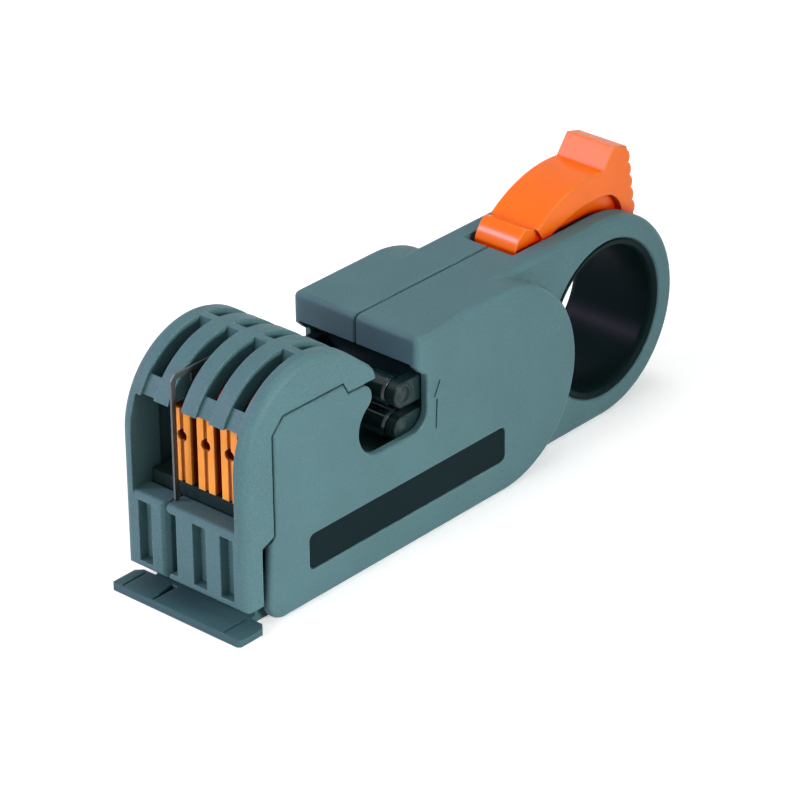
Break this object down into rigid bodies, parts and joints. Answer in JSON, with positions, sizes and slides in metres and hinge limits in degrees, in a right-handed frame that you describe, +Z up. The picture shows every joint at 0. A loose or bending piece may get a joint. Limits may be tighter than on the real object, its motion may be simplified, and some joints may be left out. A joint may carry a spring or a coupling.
{
  "type": "coaxial cable stripper",
  "caption": "Hand-held coaxial cable stripper: grey ribbed blade head with orange blade carriers, side port with spring-loaded rollers, orange thumb lever and finger ring.",
  "frame": {"origin": "centre of the footprint, on the surface that the tool's bottom edge rests on", "axes": "+X from the blade head to the finger ring along the tool, +Y across it towards the side without the plate, +Z up towards the thumb lever"},
  "size_m": [0.1184, 0.029, 0.0486],
  "materials": {
    "housing": "fine-grained grey-teal plastic",
    "magazine": "fine-grained grey-teal plastic, slightly darker",
    "steel": "plain spring steel",
    "carrier": "glossy yellow-orange plastic",
    "blade": "ground blade steel",
    "screw_steel": "blackened steel",
    "carriage": "dark plastic with a soft sheen",
    "roller": "dark plastic with a soft sheen",
    "lever": "glossy bright orange plastic",
    "liner": "dark soft-touch plastic",
    "plate": "dark satin plate, bare"
  },
  "bodies": {
    "base": {"label_side_shell": "housing", "screw_side_shell": "housing", "blade_head": "housing", "blade_magazine": "magazine", "retaining_clip": "steel", "ring_liner": "liner", "label_plate": "plate", "housing_screws": "screw_steel", "return_spring": "steel"},
    "carriage": {"roller_carriage": "carriage", "upper_roller_pin": "steel", "lower_roller_pin": "steel", "pull_rod": "steel", "thumb_lever": "lever", "lever_pin": "steel"},
    "upper_roller": {"upper_roller": "roller"},
    "lower_roller": {"lower_roller": "roller"},
    "carrier_a": {"blade_carrier_a": "carrier", "blade_a": "blade"},
    "carrier_b": {"blade_carrier_b": "carrier", "blade_b": "blade"},
    "carrier_c": {"blade_carrier_c": "carrier", "blade_c": "blade"},
    "screw_a": {"depth_screw_a": "screw_steel"},
    "screw_b": {"depth_screw_b": "screw_steel"},
    "screw_c": {"depth_screw_c": "screw_steel"}
  },
  "joints": [
    {"name": "carriage_slide", "type": "slide", "parent": "base", "child": "carriage", "axis": [1, 0, 0], "range_m": [0, 0.0075], "stiffness_N_per_m": 600, "springref_m": -0.004, "deforming": ["return_spring"]},
    {"name": "upper_roller_spin", "type": "hinge", "parent": "carriage", "child": "upper_roller", "pos_m": [-0.01622, 0, 0.0278], "axis": [0, 1, 0], "continuous": true},
    {"name": "lower_roller_spin", "type": "hinge", "parent": "carriage", "child": "lower_roller", "pos_m": [-0.01622, 0, 0.0216], "axis": [0, 1, 0], "continuous": true},
    {"name": "carrier_a_slide", "type": "slide", "parent": "base", "child": "carrier_a", "axis": [1, 0, 0], "range_m": [-0.00089, 0.00089]},
    {"name": "depth_screw_a_turn", "type": "hinge", "parent": "base", "child": "screw_a", "pos_m": [-0.04702, -0.0066, 0.0295], "axis": [1, 0, 0], "range_deg": [-720, 720]},
    {"name": "carrier_b_slide", "type": "slide", "parent": "base", "child": "carrier_b", "axis": [1, 0, 0], "range_m": [-0.00089, 0.00089]},
    {"name": "depth_screw_b_turn", "type": "hinge", "parent": "base", "child": "screw_b", "pos_m": [-0.04702, -0.00135, 0.0295], "axis": [1, 0, 0], "range_deg": [-720, 720]},
    {"name": "carrier_c_slide", "type": "slide", "parent": "base", "child": "carrier_c", "axis": [1, 0, 0], "range_m": [-0.00089, 0.00089]},
    {"name": "depth_screw_c_turn", "type": "hinge", "parent": "base", "child": "screw_c", "pos_m": [-0.04702, 0.0039, 0.0295], "axis": [1, 0, 0], "range_deg": [-720, 720]}
  ],
  "couplings": [
    {"joint": "depth_screw_a_turn", "follows": "carrier_a_slide", "rad_per_m": -13963},
    {"joint": "depth_screw_b_turn", "follows": "carrier_b_slide", "rad_per_m": -13963},
    {"joint": "depth_screw_c_turn", "follows": "carrier_c_slide", "rad_per_m": -13963}
  ]
}
